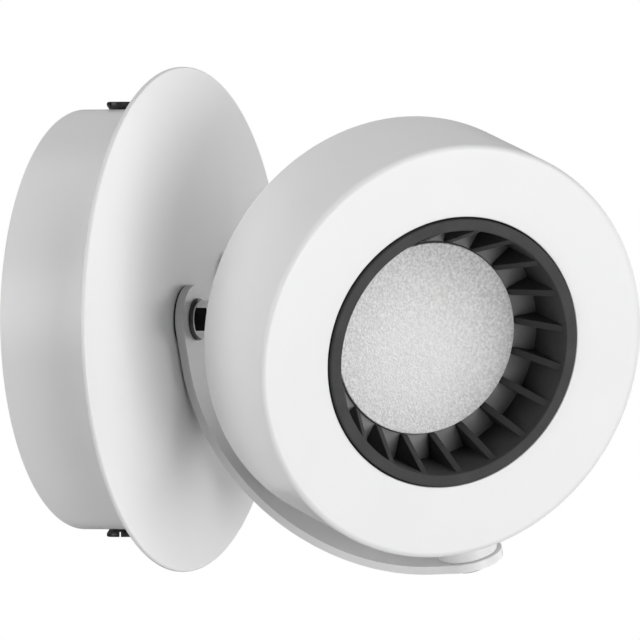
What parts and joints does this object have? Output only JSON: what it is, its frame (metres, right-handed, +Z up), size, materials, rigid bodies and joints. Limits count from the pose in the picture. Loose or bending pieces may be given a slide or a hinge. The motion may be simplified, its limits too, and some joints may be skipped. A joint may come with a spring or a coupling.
{
  "type": "wall spotlight",
  "caption": "Wall spotlight: round canopy with a wider backing disc, bent strip arm on a central pivot, and a turning drum head with a finned ring round a frosted light.",
  "frame": {"origin": "middle of the canopy's rear rim, on the wall plane, on the axis of the cable hole and of the arm's first pivot", "axes": "+Y into the wall, -Y out into the room, +Z up, +X to the right seen from the room"},
  "size_m": [0.12, 0.131, 0.1206],
  "materials": {
    "white_paint": "white satin powder coat",
    "charcoal_casting": "matt charcoal coat on a casting",
    "frosted_diffuser": "frosted, finely grained",
    "bright_nut": "polished plating",
    "black_steel": "blackened steel",
    "zinc_steel": "zinc plated",
    "brass_screws": "plain brass",
    "grommet_rubber": "soft black rubber",
    "white_plastic": "moulded plastic",
    "circuit_board": "green solder mask",
    "transformer_wrap": "yellow tape",
    "capacitor_sleeve": "dark shrink sleeve",
    "foam_tape": "white foam tape",
    "reflector_plastic": "white gloss",
    "board_aluminium": "white solder mask on aluminium",
    "led_phosphor": "yellow phosphor",
    "thermal_rubber": "grey silicone"
  },
  "bodies": {
    "base": {"wall_bracket": "zinc_steel", "cable_bush": "grommet_rubber", "canopy_drum": "white_paint", "backing_disc": "white_paint", "canopy_grommet": "grommet_rubber", "side_screws": "black_steel", "pivot_screw": "zinc_steel", "inner_washer": "zinc_steel", "spacer_washer": "black_steel", "front_washer": "black_steel", "pivot_nut": "bright_nut", "terminal_block": "white_plastic", "terminal_screws": "brass_screws", "terminal_fixing_screw": "zinc_steel", "earth_screw": "zinc_steel", "earth_washer": "zinc_steel", "driver_pad": "foam_tape", "driver_case": "white_plastic", "driver_lid": "white_plastic", "driver_board": "circuit_board", "driver_transformer": "transformer_wrap", "driver_capacitor": "capacitor_sleeve"},
    "arm": {"arm_strip": "white_paint"},
    "head": {"head_shell": "white_paint", "rear_cover": "white_paint", "rear_cover_screws": "zinc_steel", "head_grommet": "grommet_rubber", "heat_sink": "charcoal_casting", "heat_sink_screws": "zinc_steel", "diffuser": "frosted_diffuser", "reflector": "reflector_plastic", "led_board": "board_aluminium", "led_chips": "led_phosphor", "thermal_pad": "thermal_rubber", "board_screws": "zinc_steel", "head_boss": "white_paint", "pivot_nut_plate": "zinc_steel", "head_pivot_screw": "zinc_steel", "tip_washer": "zinc_steel"}
  },
  "joints": [
    {"name": "arm_turn", "type": "hinge", "parent": "base", "child": "arm", "pos_m": [0, 0, 0], "axis": [0, -1, 0], "range_deg": [-192.9, 147.1]},
    {"name": "head_pan", "type": "hinge", "parent": "arm", "child": "head", "pos_m": [0.00176, -0.08631, -0.00416], "axis": [-0.3887, 0.0454, 0.9202], "range_deg": [-42.8, 127.2]}
  ]
}
